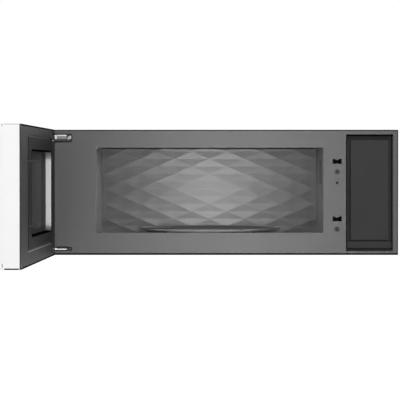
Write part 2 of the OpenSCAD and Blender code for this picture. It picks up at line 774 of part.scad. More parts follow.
// The duct outlet's frame under the roof, with a ledge for the flap, and the flap on its pins
module duct_frame() color([0.55, 0.55, 0.57]) {
    difference() {
        block([-duct_w / 2, duct_w / 2], [duct_y - duct_l, duct_y], duct_z);
        block(grow([-duct_w / 2, duct_w / 2], -sheet), grow([duct_y - duct_l, duct_y], -sheet), grow(duct_z, 1));
        rod([-duct_w / 2 - 1, flap_y, flap_z], flap_pin_d + 2 * fit, duct_w + 2, "x");
    }
    difference() {
        block(grow([-duct_w / 2, duct_w / 2], 8), [duct_y - duct_l - 8, duct_y + 3], [roof_z - sheet, roof_z]);
        block(grow([-duct_w / 2, duct_w / 2], -bite), grow([duct_y - duct_l, duct_y], -bite), grow(duct_z, 2));
    }
    block(grow([-duct_w / 2, duct_w / 2], -bite), [duct_y - duct_l + bite, duct_y - duct_l + 5], [duct_z[0], duct_z[0] + 1]);
}
module duct_flap() color([0.7, 0.7, 0.72]) {
    half = duct_w / 2 - sheet - 1;
    block([-half, half], [duct_y - duct_l + sheet + 1, flap_y], [flap_z - flap_t / 2, flap_z + flap_t / 2]);
    rod([-duct_w / 2, flap_y, flap_z], flap_pin_d, duct_w, "x");
}

// The turntable drive: motor under the dish, shaft, three-armed coupler, ring, rollers and tray
module turntable_motor() color([0.78, 0.78, 0.76]) {
    top = dish_floor - oven_t;
    difference() {
        union() {
            rod([tray_x, tray_y, top - tt_motor_h], 2 * tt_motor_r, tt_motor_h);
            block([tray_x - 34, tray_x + 34], [tray_y - 6, tray_y + 6], [top - 1.2, top]);
        }
        rod([tray_x, tray_y, top - tt_motor_h + 3], shaft_d + 2 * fit, tt_motor_h);
        for (x = [-30, 30])
            rod([tray_x + x, tray_y, top - 3], 4, 5);
    }
}
module turntable_shaft() color([0.85, 0.85, 0.8])
    rod([tray_x, tray_y, dish_floor - oven_t - tt_motor_h + 3 + seat], shaft_d,
        coupler_z[1] - 4 - (dish_floor - oven_t - tt_motor_h + 3 + seat));
module turntable_coupler() color([0.9, 0.9, 0.88]) difference() {
    union() {
        rod([tray_x, tray_y, coupler_z[0]], 19, size(coupler_z));
        for (a = [0, 120, 240])
            translate([tray_x, tray_y, coupler_z[1] - 6])
                rotate(a)
                    translate([0, -4, 0])
                        cube([22, 8, 6]);
    }
    rod([tray_x, tray_y, coupler_z[0] - 1], shaft_d, size(coupler_z) - 3);
}
module roller_ring() color([0.88, 0.88, 0.86]) {
    translate([tray_x, tray_y, roller_z - 3.5])
        difference() {
            cylinder(r = ring_r[1], h = 7);
            translate([0, 0, -1])
                cylinder(r = ring_r[0], h = 9);
        }
    for (a = [90, 210, 330])
        translate([tray_x, tray_y, roller_z])
            rotate(a) {
                translate([ring_r[1] - 2, 0, 0])
                    rotate([0, 90, 0])
                        cylinder(d = axle_d, h = roller_orbit + roller_w / 2 + 3 - ring_r[1] + 2);
                translate([roller_orbit + roller_w / 2 + 0.5, 0, 0])
                    rotate([0, 90, 0])
                        cylinder(d = axle_d + 2.5, h = 2.5);
            }
}
module roller(a) color([0.93, 0.93, 0.92])
    translate([tray_x, tray_y, roller_z])
        rotate(a)
            translate([roller_orbit - roller_w / 2, 0, 0])
                rotate([0, 90, 0])
                    difference() {
                        cylinder(r = roller_r, h = roller_w);
                        translate([0, 0, -1])
                            cylinder(d = axle_d + 2 * fit, h = roller_w + 2);
                    }
module roller_1() roller(90);
module roller_2() roller(210);
module roller_3() roller(330);
module glass_tray() color([0.8, 0.85, 0.87, 0.5]) {
    translate([tray_x, tray_y, tray_z])
        rotate_extrude($fn = 128)
            polygon([[0, 0], [tray_r - 11, 0], [tray_r - 2, tray_rim - 3.5], [tray_r, tray_rim - 1],
                [tray_r - 1, tray_rim], [tray_r - 3.5, tray_rim - 0.5], [tray_r - 12.5, tray_t - 1],
                [tray_r - 16, tray_t - 1.5], [0, tray_t - 1.5]]);
    for (a = [60, 180, 300])
        translate([tray_x, tray_y, tray_z - 3])
            rotate(a)
                translate([12, -3, 0])
                    cube([9, 6, 3 + bite]);
}

// Two cooktop lamps: lens plates on the pan's ledges, and bulbs in sockets on the oven's underside
module lamp_lenses() color([0.85, 0.85, 0.8])
    for (x = lamp_x)
        block([x - lamp_w / 2 - 4, x + lamp_w / 2 + 4], grow(lamp_y, 4), [floor_z, floor_z + lens_t]);
module cooktop_lamps() color([0.9, 0.88, 0.82])
    for (x = lamp_x) {
        z = floor_z + lens_t + 10;
        rod([x - 30, middle(lamp_y), z], 12, 34, "x");
        rod([x + 3, middle(lamp_y), z], 18, 18, "x");
        difference() {
            block([x + 8, x + 18], [middle(lamp_y) - 16, middle(lamp_y) + 16], [z - 9, oven_floor - oven_t]);
            block([x + 7, x + 19], [middle(lamp_y) - 14.8, middle(lamp_y) + 14.8], [z + 9, oven_floor - oven_t - 1.2]);
        }
    }

// A grease filter: a folded aluminium rim round a ribbed mesh pad, with a pull ring
module grease_filter(side) color([0.75, 0.76, 0.77]) {
    x = filter_x(side);
    z = [floor_z, floor_z + filter_t];
    difference() {
        block(x, filter_y, z);
        block(grow(x, -9), grow(filter_y, -9), grow(z, 1));
    }
    block(grow(x, -8), grow(filter_y, -8), [z[0] + 2, z[1] - 3]);
    for (k = [1 : 12])
        block([x[0] + filter_w * k / 13 - 2, x[0] + filter_w * k / 13 + 2], grow(filter_y, -8),
            [z[0] + 1, z[1] - 2]);
}
module grease_filter_left() grease_filter(-1);
module grease_filter_right() grease_filter(1);

// The board behind the latch slots: two open catch boxes on a strip screwed to the frame
module latch_board() color([0.08, 0.08, 0.08]) difference() {
    strip_z = [latch_z[1] - screw_drop - 12, latch_z[0] + 20];
    union() {
        block([latch_x - catch_w / 2 + 2, latch_x + catch_w / 2 - 7], [face_back, face_back + 4], strip_z);
        for (z = latch_z)
            block([latch_x - catch_w / 2, latch_x + catch_w / 2 - 6], [face_back, face_back + board_d],
                [z - slot_h / 2 - 4, z + slot_h / 2 + 4]);
    }
    for (z = latch_z) {
        block([latch_x - catch_w / 2 + 2, latch_x + catch_w / 2], [face_back - 1, face_back + board_d - 3],
            [z - slot_h / 2 - 1, z + slot_h / 2 + 1]);
        rod([latch_x - slot_w / 4, face_back, z], plunger_d + 2 * fit, board_d + 1, "y");
        rod([latch_x, face_back - 1, z - screw_drop], frame_screw_d, 20, "y");
    }
    rod([latch_x, face_back - 1, sense_z], sense_d + 2 * fit, 20, "y");
}

// The safety switches, seated on the back of the latch board
module interlock_switches() color([0.1, 0.1, 0.1]) {
    for (z = latch_z)
        difference() {
            block([latch_x - 12, latch_x + 3], [switch_y, switch_y + 16], [z - 14, z + 14]);
            rod([latch_x - slot_w / 4, switch_y - 1, z], plunger_d + 2 * fit, 12, "y");
        }
    difference() {
        block([latch_x - 9, latch_x + 4], [face_back + 4, face_back + 20], [sense_z - 14, sense_z + 14]);
        rod([latch_x, face_back + 3, sense_z], sense_d + 2 * fit, 14, "y");
    }
}
module switch_plungers() color([0.1, 0.1, 0.1])
    for (z = latch_z)
        rod([latch_x - slot_w / 4, face_y + hook_reach - door_gap + 1, z], plunger_d,
            switch_y + 11 - plunger_travel - seat - (face_y + hook_reach - door_gap + 1), "y");
module sensing_pin() color([0.15, 0.15, 0.15])
    rod([latch_x, face_y - 1.5, sense_z], sense_d, face_back + 17 - 2 - seat - (face_y - 1.5), "y");
module frame_screws() color([0.4, 0.4, 0.4])
    for (z = latch_z)
        difference() {
            union() {
                rod([latch_x, face_y - 1.6, z - screw_drop], screw_d, 1.6, "y");
                rod([latch_x, face_y - bite, z - screw_drop], frame_screw_d, 14, "y");
            }
            translate([latch_x, face_y - 2, z - screw_drop])
                for (a = [0, 90])
                    rotate([0, a, 0])
                        translate([-2.6, 0, -0.5])
                            cube([5.2, 1.4, 1]);
        }

// Hinge brackets: a flange screwed to the frame, a leaf out to the pin, and the pin.
// The flange is stiffened by a long dimple where it is tall enough, and dished round its screw.
module hinge_bracket(z, up, tall) color([0.8, 0.8, 0.82]) {
    leaf = up ? [z, z + leaf_t] : [z - leaf_t, z];
    flange = up ? [z, z + tall] : [z - tall, z];
    screw_x = left_x + flange_l - 5;
    difference() {
        block([left_x + 1.5, left_x + flange_l], [face_y - flange_t, face_y], flange);
        rod([screw_x, face_y - flange_t - 1, middle(flange)], 8.5, 2.1, "y");
        if (tall > 10)
            standing(face_y - flange_t - 1, 1.8)
                rounded([left_x + 20, screw_x - 6.5], grow(flange, -3.5), 2);
    }
    block([left_x + 1.5, pivot_x + 9], [pivot_y, face_y], leaf);
    rod([pivot_x, pivot_y, leaf[0]], 13, leaf_t);
    rod([pivot_x, pivot_y, up ? z - pin_l : z - leaf_t], pin_d, pin_l + leaf_t);
    rod([screw_x, face_y - flange_t - 0.9, middle(flange)], min(6, tall - 0.6), 2.1, "y");
}
module hinge_brackets() {
    hinge_bracket(leaf_z[0], true, flange_h[0]);
    hinge_bracket(leaf_z[1], false, flange_h[1]);
}

module cord_bushing() color([0.08, 0.08, 0.08])
    translate([cord_x, cord_y, roof_z])
        difference() {
            union() {
                translate([0, 0, -10])
                    cylinder(d = cord_hole_d - 0.2, h = 11 + sheet);
                translate([0, 0, sheet])
                    cylinder(d = cord_hole_d + 5, h = 1.5);
                translate([0, 0, -2])
                    cylinder(d = cord_hole_d + 3, h = 2);
            }
            translate([0, 0, -11])
                cylinder(d = 12, h = 20);
        }

// Swings the door's own frame out about the hinge pins
module swung() {
    translate([pivot_x, pivot_y, 0])
        rotate(-door_angle)
            translate([left_x + door_inset - pivot_x, face_y - door_gap - pivot_y, 0])
                children();
}

// The space that the hinge brackets need in the door, all the way out at its hinge edge
module hinge_notches() {
    reach = pivot[1] - door_gap + 13;
    for (z = [[leaf_z[0] - seat, leaf_z[0] + flange_h[0] + 2], [leaf_z[1] - flange_h[1] - 2, leaf_z[1] + seat]])
        block([-1, 58], [-reach, 2], z);
}

// The white walls of the door, with window and control openings and a pocket for the fingers
module door_shell() color([0.95, 0.95, 0.94]) swung() difference() {
    union() {
        difference() {
            block([0, door_w], [panel_y, 0], [-door_h / 2, door_h / 2]);
            block([shell_t, door_w - shell_t], [panel_y + shell_t, 1], grow([-door_h / 2, door_h / 2], -shell_t));
            block([-1, door_w + 1], [chassis_y, 1], grow([-door_h / 2, door_h / 2], 1));
        }
        block(grow(grip_x, shell_t), [panel_y + bite, chassis_y], [-door_h / 2 + bite, -door_h / 2 + grip_d + shell_t]);
        for (z = [leaf_z[0] - seat - shell_t - bush_l, leaf_z[1] + seat])
            block([bite, 22], [panel_y + bite, chassis_y], [z, z + bush_l + shell_t]);
        for (z = latch_z)
            block(grow(bar_x, seat + 2), [panel_y + bite, bar_y[1] - 2], [z - 10, z + 10]);
    }
    block(grip_x, [panel_y + 10, chassis_y - shell_t], [-door_h / 2 - 1, -door_h / 2 + grip_d]);
    standing(panel_y - 1, shell_t + 2) {
        rounded(grow(glass_x, -6), grow(glass_z, -6), 6);
        rounded(grow(control_x, -6), grow(glass_z, -6), 6);
    }
    hinge_notches();
    for (z = bush_z)
        rod([pivot[0] - door_inset, -pivot[1] + door_gap, z - 1], bush_d, bush_l + shell_t + 2);
    block(grow(bar_x, seat), [bar_y[0] - seat, 1], [latch_z[1] - 30, latch_z[0] + 30]);
}
module hinge_bushes() color([0.2, 0.2, 0.2]) swung()
    for (z = bush_z)
        translate([pivot[0] - door_inset, -pivot[1] + door_gap, z])
            difference() {
                cylinder(d = bush_d - 0.02, h = bush_l);
                translate([0, 0, -1])
                    cylinder(d = pin_d + 2 * fit, h = bush_l + 2);
            }

module door_front_panel() color([0.95, 0.95, 0.94]) swung() difference() {
    standing(-door_t, panel_t)
        rounded([0, door_w], [-door_h / 2, door_h / 2], 3);
    standing(-door_t - 1, panel_t + 2) {
        rounded(glass_x, glass_z, 8);
        rounded(control_x, glass_z, 8);
    }
}
module window_glass() color([0.05, 0.05, 0.06]) swung()
    standing(-door_t, panel_t)
        rounded(grow(glass_x, -seat), grow(glass_z, -seat), 8 - seat);
module control_glass() color([0.03, 0.03, 0.03]) swung()
    standing(-door_t, panel_t)
        rounded(grow(control_x, -seat), grow(glass_z, -seat), 8 - seat);

// The touch board behind the control glass, with its display
module control_board() color([0.15, 0.35, 0.2]) swung() {
    block(grow(control_x, -16), [panel_y + 2, panel_y + 3.6], grow(glass_z, -20));
    block(grow(control_x, -30), [panel_y, panel_y + 2 + bite], [glass_z[1] - 62, glass_z[1] - 30]);
    for (z = [-60, 0, 30])
        block(grow(control_x, -30), [panel_y, panel_y + 2 + bite], [z - 3, z + 3]);
}

// The black plate across the door's back, with a lip round the inner cover, and the bright pressed frame
module door_chassis() color([0.04, 0.04, 0.04]) swung() difference() {
    union() {
        block([0.5, door_w], [chassis_y, chassis_y + chassis_t], [-door_h / 2, door_h / 2]);
        difference() {
            block([0.5, door_w], [chassis_y + chassis_t - bite, -0.3], [-door_h / 2, door_h / 2]);
            standing(chassis_y, 1 - chassis_y)
                cover_outline(seat / 2);
        }
    }
    standing(chassis_y - 1, chassis_t + 2)
        rounded(grow(choke_x, -4), grow(choke_z, -4), 6);
    hinge_notches();
    hook_windows();
}
module hook_windows()
    for (z = latch_z)
        block([hook_s - hook_t / 2 - 1, hook_s + hook_t / 2 + 1], [-10, 2], [z - 7, z + 6]);
module choke_frame() color([0.75, 0.75, 0.76]) swung() {
    difference() {
        standing(choke_step, -choke_step + bite)
            rounded(window_x, window_z, window_r);
        standing(choke_step - 1, -choke_step + 3)
            rounded(grow(window_x, -choke_t), grow(window_z, -choke_t), window_r - choke_t);
    }
    difference() {
        standing(chassis_y - choke_t, choke_t)
            rounded(grow(choke_x, 4), grow(choke_z, 4), 8);
        standing(chassis_y - choke_t - 1, choke_t + 2)
            rounded(grow(window_x, -bite), grow(window_z, -bite), window_r);
    }
    difference() {
        standing(-window_back - 6, window_back + 6 + chassis_y - bite)
            rounded(choke_x, choke_z, 6);
        standing(-window_back - 7, window_back + 8)
            rounded(grow(choke_x, -choke_t), grow(choke_z, -choke_t), 6 - choke_t);
    }
}

// The dark cover of the door's inner face, open round the raised choke cover
module cover_outline(by) {
    x = grow([rim, door_w - rim], by);
    z = grow([-door_h / 2, door_h / 2], by - rim);
    rounded(x, z, free_r + by);
    rounded([x[0], door_w / 2], z, 3);
}
module door_inner_cover() color([0.3, 0.3, 0.3]) swung() difference() {
    standing(-cover_t, cover_t)
        cover_outline(0);
    standing(-cover_t - 1, cover_t + 2)
        rounded(grow(choke_x, 3), grow(choke_z, 3), 9);
    hinge_notches();
    hook_windows();
}
module choke_cover() color([0.2, 0.2, 0.2]) swung() difference() {
    standing(chassis_y, -chassis_y + 1)
        rounded(choke_x, choke_z, 6);
    standing(chassis_y - 1, -chassis_y + 3)
        rounded(grow(window_x, seat / 2), grow(window_z, seat / 2), window_r + seat / 2);
    block([choke_x[0] - 1, choke_x[0] + 6], [chassis_y - 1, chassis_y + chassis_t], grow(choke_z, 1));
    block([choke_x[1] - 6, choke_x[1] + 1], [chassis_y - 1, chassis_y + chassis_t], grow(choke_z, 1));
    for (z = [choke_z[0] - 1, choke_z[1] - 6])
        block(grow(choke_x, 1), [chassis_y - 1, chassis_y + chassis_t], [z, z + 7]);
}

// The window: a black gasket, a clear inner pane and a perforated screen behind it
module window_outline(by)
    rounded(grow(window_x, by), grow(window_z, by), window_r + by);
module window_gasket() color([0.06, 0.06, 0.06]) swung() difference() {
    standing(-window_back, window_back + choke_step)
        window_outline(gasket_t);
    standing(-window_back - 1, window_back + 2)
        window_outline(-1.5);
}
module inner_pane() color([0.2, 0.2, 0.22, 0.5]) swung()
    standing(-window_back - pane_t, pane_t)
        window_outline(gasket_t);
module window_screen() color([0.12, 0.12, 0.12]) swung()
    standing(-window_back - pane_t - choke_t, choke_t)
        rounded(grow(choke_x, -choke_t), grow(choke_z, -choke_t), 6 - choke_t);

// Two sprung hooks on one slider that lifts over the catches
module latch_hooks() color([0.2, 0.2, 0.2]) swung() {
    x = grow(bar_x, -2);
    block(bar_x, bar_y, [latch_z[1] - 12, latch_z[0] + 12]);
    for (z = latch_z) {
        block(x, [bar_y[1] - bite, hook_reach - 3], [z - 3, z + 1.5]);
        block(x, [hook_reach - 7, hook_reach], [z - 5, z]);
    }
}

cabinet_wrap();
base_pan();
back_panel();
wall_plate();
front_frame();
bottom_trim();
control_pocket();
oven_shell();
oven_back();
wave_guide_cover();
wave_guide();
magnetron();
transformer_core();
transformer_windings();
capacitor();
diode();
cooling_fan_housing();
cooling_fan_wheel();
filter_board();
thermostat();
oven_lamp();
vent_blower_housing();
vent_motor();
vent_shaft();
vent_wheels();
duct_frame();
duct_flap();
turntable_motor();
turntable_shaft();
turntable_coupler();
roller_ring();
roller_1();
roller_2();
roller_3();
glass_tray();
cooktop_lamps();
lamp_lenses();
grease_filter_left();
grease_filter_right();
latch_board();
interlock_switches();
switch_plungers();
sensing_pin();
frame_screws();
hinge_brackets();
cord_bushing();
door_shell();
door_front_panel();
window_glass();
control_glass();
control_board();
door_chassis();
choke_frame();
door_inner_cover();
choke_cover();
window_gasket();
inner_pane();
window_screen();
latch_hooks();
hinge_bushes();
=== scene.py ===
"""Looks of the over-the-range microwave: camera, light, finishes, floor and the small pieces in no solid."""
import json
import math

import bpy
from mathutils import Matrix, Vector


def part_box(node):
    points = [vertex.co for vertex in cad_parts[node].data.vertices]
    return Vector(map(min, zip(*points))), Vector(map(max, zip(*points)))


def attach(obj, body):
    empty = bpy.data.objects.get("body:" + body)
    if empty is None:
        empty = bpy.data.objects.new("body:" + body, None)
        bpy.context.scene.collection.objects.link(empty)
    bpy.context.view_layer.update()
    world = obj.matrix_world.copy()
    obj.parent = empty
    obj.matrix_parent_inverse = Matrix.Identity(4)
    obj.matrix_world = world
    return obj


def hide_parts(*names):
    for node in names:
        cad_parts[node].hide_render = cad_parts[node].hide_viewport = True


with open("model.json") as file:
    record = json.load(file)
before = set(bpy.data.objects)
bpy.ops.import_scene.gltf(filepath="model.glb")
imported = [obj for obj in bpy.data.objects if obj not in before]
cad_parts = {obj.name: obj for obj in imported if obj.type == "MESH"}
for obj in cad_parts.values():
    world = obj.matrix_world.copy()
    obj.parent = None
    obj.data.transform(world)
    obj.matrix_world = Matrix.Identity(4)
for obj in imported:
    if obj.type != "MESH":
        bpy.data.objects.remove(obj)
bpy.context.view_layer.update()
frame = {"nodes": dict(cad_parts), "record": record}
nodes = frame["nodes"]

FACE_Y = -0.420
FLOOR_Z = -0.9

# Camera: 5.28 m in front of the face, level with the oven's upper part, looking down by under a degree
CAMERA_PLACE = (-0.0477, -5.701, 0.0564)
CAMERA_DIP = 0.79
CAMERA_LENS = 220.5
SENSOR_WIDTH = 36
camera_data = bpy.data.cameras.new("photo_camera")
camera_data.sensor_width = SENSOR_WIDTH
camera_data.lens = CAMERA_LENS
camera = bpy.data.objects.new("photo_camera", camera_data)
camera.location = CAMERA_PLACE
camera.rotation_euler = (math.radians(90 - CAMERA_DIP), 0, 0)
bpy.context.scene.collection.objects.link(camera)
bpy.context.scene.camera = camera
bpy.context.scene.view_settings.view_transform = "Standard"


def node(tree, kind, **settings):
    """Adds a shader node and sets its properties by name and its inputs by number or socket name."""
    made = tree.nodes.new(kind)
    inputs = settings.pop("inputs", {})
    for key, value in settings.items():
        setattr(made, key, value)
    for key, value in inputs.items():
        made.inputs[key].default_value = value
    return made


WHITE = (1, 1, 1, 1)
BLACK = (0, 0, 0, 1)


def white_for_seen_rays(tree):
    """1 for rays from the camera, off gloss and through glass, and 0 for the rest."""
    path = node(tree, "ShaderNodeLightPath")
    first = node(tree, "ShaderNodeMath", operation="MAXIMUM")
    both = node(tree, "ShaderNodeMath", operation="MAXIMUM")
    tree.links.new(path.outputs["Is Camera Ray"], first.inputs[0])
    tree.links.new(path.outputs["Is Glossy Ray"], first.inputs[1])
    tree.links.new(first.outputs[0], both.inputs[0])
    tree.links.new(path.outputs["Is Transmission Ray"], both.inputs[1])
    return both.outputs[0]


# World: plain white where it is seen, and a softer level where it lights
WORLD_LIGHT = 0.24
world = bpy.data.worlds.new("studio")
bpy.context.scene.world = world
world.use_nodes = True
sky = world.node_tree
sky.nodes.clear()
lit = node(sky, "ShaderNodeBackground", inputs={"Color": WHITE, "Strength": WORLD_LIGHT})
seen = node(sky, "ShaderNodeBackground", inputs={"Color": WHITE, "Strength": 1.0})
choose = node(sky, "ShaderNodeMixShader")
sky_out = node(sky, "ShaderNodeOutputWorld")
sky.links.new(white_for_seen_rays(sky), choose.inputs[0])
sky.links.new(lit.outputs[0], choose.inputs[1])
sky.links.new(seen.outputs[0], choose.inputs[2])
sky.links.new(choose.outputs[0], sky_out.inputs[0])


def lamp(name, place, target, size, power, spread=180):
    """A rectangular soft box at a place, turned to a target, whose light spreads over an angle in degrees."""
    data = bpy.data.lights.new(name, "AREA")
    data.shape = "RECTANGLE"
    data.size = size[0]
    data.size_y = size[1]
    data.energy = power
    data.spread = math.radians(spread)
    made = bpy.data.objects.new(name, data)
    made.location = place
    made.rotation_euler = (Vector(target) - Vector(place)).to_track_quat("-Z", "Y").to_euler()
    made.visible_camera = False
    bpy.context.scene.collection.objects.link(made)
    return made


def shine_only_on(one_lamp, pieces):
    """Keeps a lamp's light to some pieces, as a masked studio lamp would."""
    lit_pieces = bpy.data.collections.new("lit_pieces")
    for piece in pieces:
        lit_pieces.objects.link(piece)
    one_lamp.light_linking.receiver_collection = lit_pieces


# Lamps: a tall strip behind the camera, soft boxes round the object, one in the oven, three for single pieces
FACE_MID = (0.0, FACE_Y, 0.0)
lamp("front_strip", (0.11, -6.4, -0.1), FACE_MID, (0.32, 1.6), 34)
back_glow = lamp("back_glow", (-0.02, -1.0, 0.0), (-0.03, -0.09, 0.0), (0.12, 0.12), 0.34, 60)
tray_glint = lamp("tray_glint", (-0.02, -1.4, -0.13), (-0.03, -0.25, -0.085), (0.05, 0.06), 3.5, 60)
door_glow = lamp("door_glow", (0.1, -1.48, 0.1), (-0.38, -1.2, 0.0), (0.2, 0.3), 9.0)
lamp("front_box", (1.2, -5.6, 2.2), FACE_MID, (1.6, 1.2), 80)
lamp("top_box", (0.1, -2.7, 2.3), (0.0, -0.5, 0.0), (2.4, 1.4), 18)
lamp("right_box", (3.4, -3.2, 0.9), (-0.38, -0.8, 0.0), (1.6, 1.6), 26)
lamp("left_box", (-3.2, -2.8, 0.6), (-0.42, -0.8, 0.0), (1.6, 1.6), 16)
lamp("oven_fill", (-0.03, -0.24, 0.088), (-0.03, -0.24, 0.0), (0.40, 0.16), 0.16)


IOR = 1.5
BUMP_DEPTH = 0.0003
# How far a rounded edge turns from its face, as a cosine, where its paling (wear, and on the hinge steel a
# painted highlight) starts and where it is full
WEAR_AND_SHEEN_STARTS = 0.98
WEAR_AND_SHEEN_FULL = 0.75
WEAR_AND_SHEEN_COLOUR = (0.6, 0.6, 0.6, 1)


def finish(name, colour, rough, metal=0.0, mottle=0.06, mottle_scale=30.0, grain=0.1, grain_scale=900.0,
           stretch=(1, 1, 1), spread=0.06, bevel=0.0005, coat=0.0, coat_rough=0.1, wear_and_sheen=0.0,
           see_through=0.0, specular=0.5):
    """A procedural finish: mottled colour, uneven gloss, a fine grain, and rounded edges, paled as wear, and
    on the hinge steel as a painted highlight.
    """
    made = bpy.data.materials.new(name)
    made.use_nodes = True
    tree = made.node_tree
    tree.nodes.clear()
    out = node(tree, "ShaderNodeOutputMaterial")
    skin = node(tree, "ShaderNodeBsdfPrincipled",
                inputs={"Metallic": metal, "Coat Weight": coat, "Coat Roughness": coat_rough, "IOR": IOR,
                        "Transmission Weight": see_through, "Specular IOR Level": specular})
    place = node(tree, "ShaderNodeTexCoord")
    scale = node(tree, "ShaderNodeMapping", inputs={"Scale": stretch})
    broad = node(tree, "ShaderNodeTexNoise", inputs={"Scale": mottle_scale, "Detail": 5.0, "Roughness": 0.6})
    fine = node(tree, "ShaderNodeTexNoise", inputs={"Scale": grain_scale, "Detail": 3.0, "Roughness": 0.6})
    tint = node(tree, "ShaderNodeMixRGB", blend_type="MIX",
                inputs={"Color1": (*[c * (1 - mottle) for c in colour], 1),
                        "Color2": (*[min(1, c * (1 + mottle)) for c in colour], 1)})
    gloss = node(tree, "ShaderNodeMapRange",
                 inputs={"To Min": max(0, rough - spread), "To Max": rough + spread})
    bump = node(tree, "ShaderNodeBump", inputs={"Strength": grain, "Distance": BUMP_DEPTH})
    soft = node(tree, "ShaderNodeBevel", samples=4, inputs={"Radius": bevel}) if bevel else None
    link = tree.links.new
    link(place.outputs["Object"], scale.inputs["Vector"])
    link(scale.outputs[0], broad.inputs["Vector"])
    link(scale.outputs[0], fine.inputs["Vector"])
    link(broad.outputs["Fac"], tint.inputs["Fac"])
    link(broad.outputs["Fac"], gloss.inputs["Value"])
    link(gloss.outputs[0], skin.inputs["Roughness"])
    link(fine.outputs["Fac"], bump.inputs["Height"])
    if soft:
        link(soft.outputs[0], bump.inputs["Normal"])
    link(bump.outputs[0], skin.inputs["Normal"])
    link(skin.outputs[0], out.inputs["Surface"])
    # Paler rounded edges: wear, and where strong a painted highlight
    if wear_and_sheen:
        face = node(tree, "ShaderNodeNewGeometry")
        turn = node(tree, "ShaderNodeVectorMath", operation="DOT_PRODUCT")
        edge = node(tree, "ShaderNodeMapRange",
                    inputs={"From Min": WEAR_AND_SHEEN_STARTS, "From Max": WEAR_AND_SHEEN_FULL, "To Min": 0.0, "To Max": wear_and_sheen})
        pale = node(tree, "ShaderNodeMixRGB", inputs={"Color2": WEAR_AND_SHEEN_COLOUR})
        link(face.outputs["True Normal"], turn.inputs[0])
        link(soft.outputs[0], turn.inputs[1])
        link(turn.outputs["Value"], edge.inputs["Value"])
        link(edge.outputs[0], pale.inputs["Fac"])
        link(tint.outputs[0], pale.inputs["Color1"])
        link(pale.outputs[0], skin.inputs["Base Color"])
    else:
        link(tint.outputs[0], skin.inputs["Base Color"])
    return made


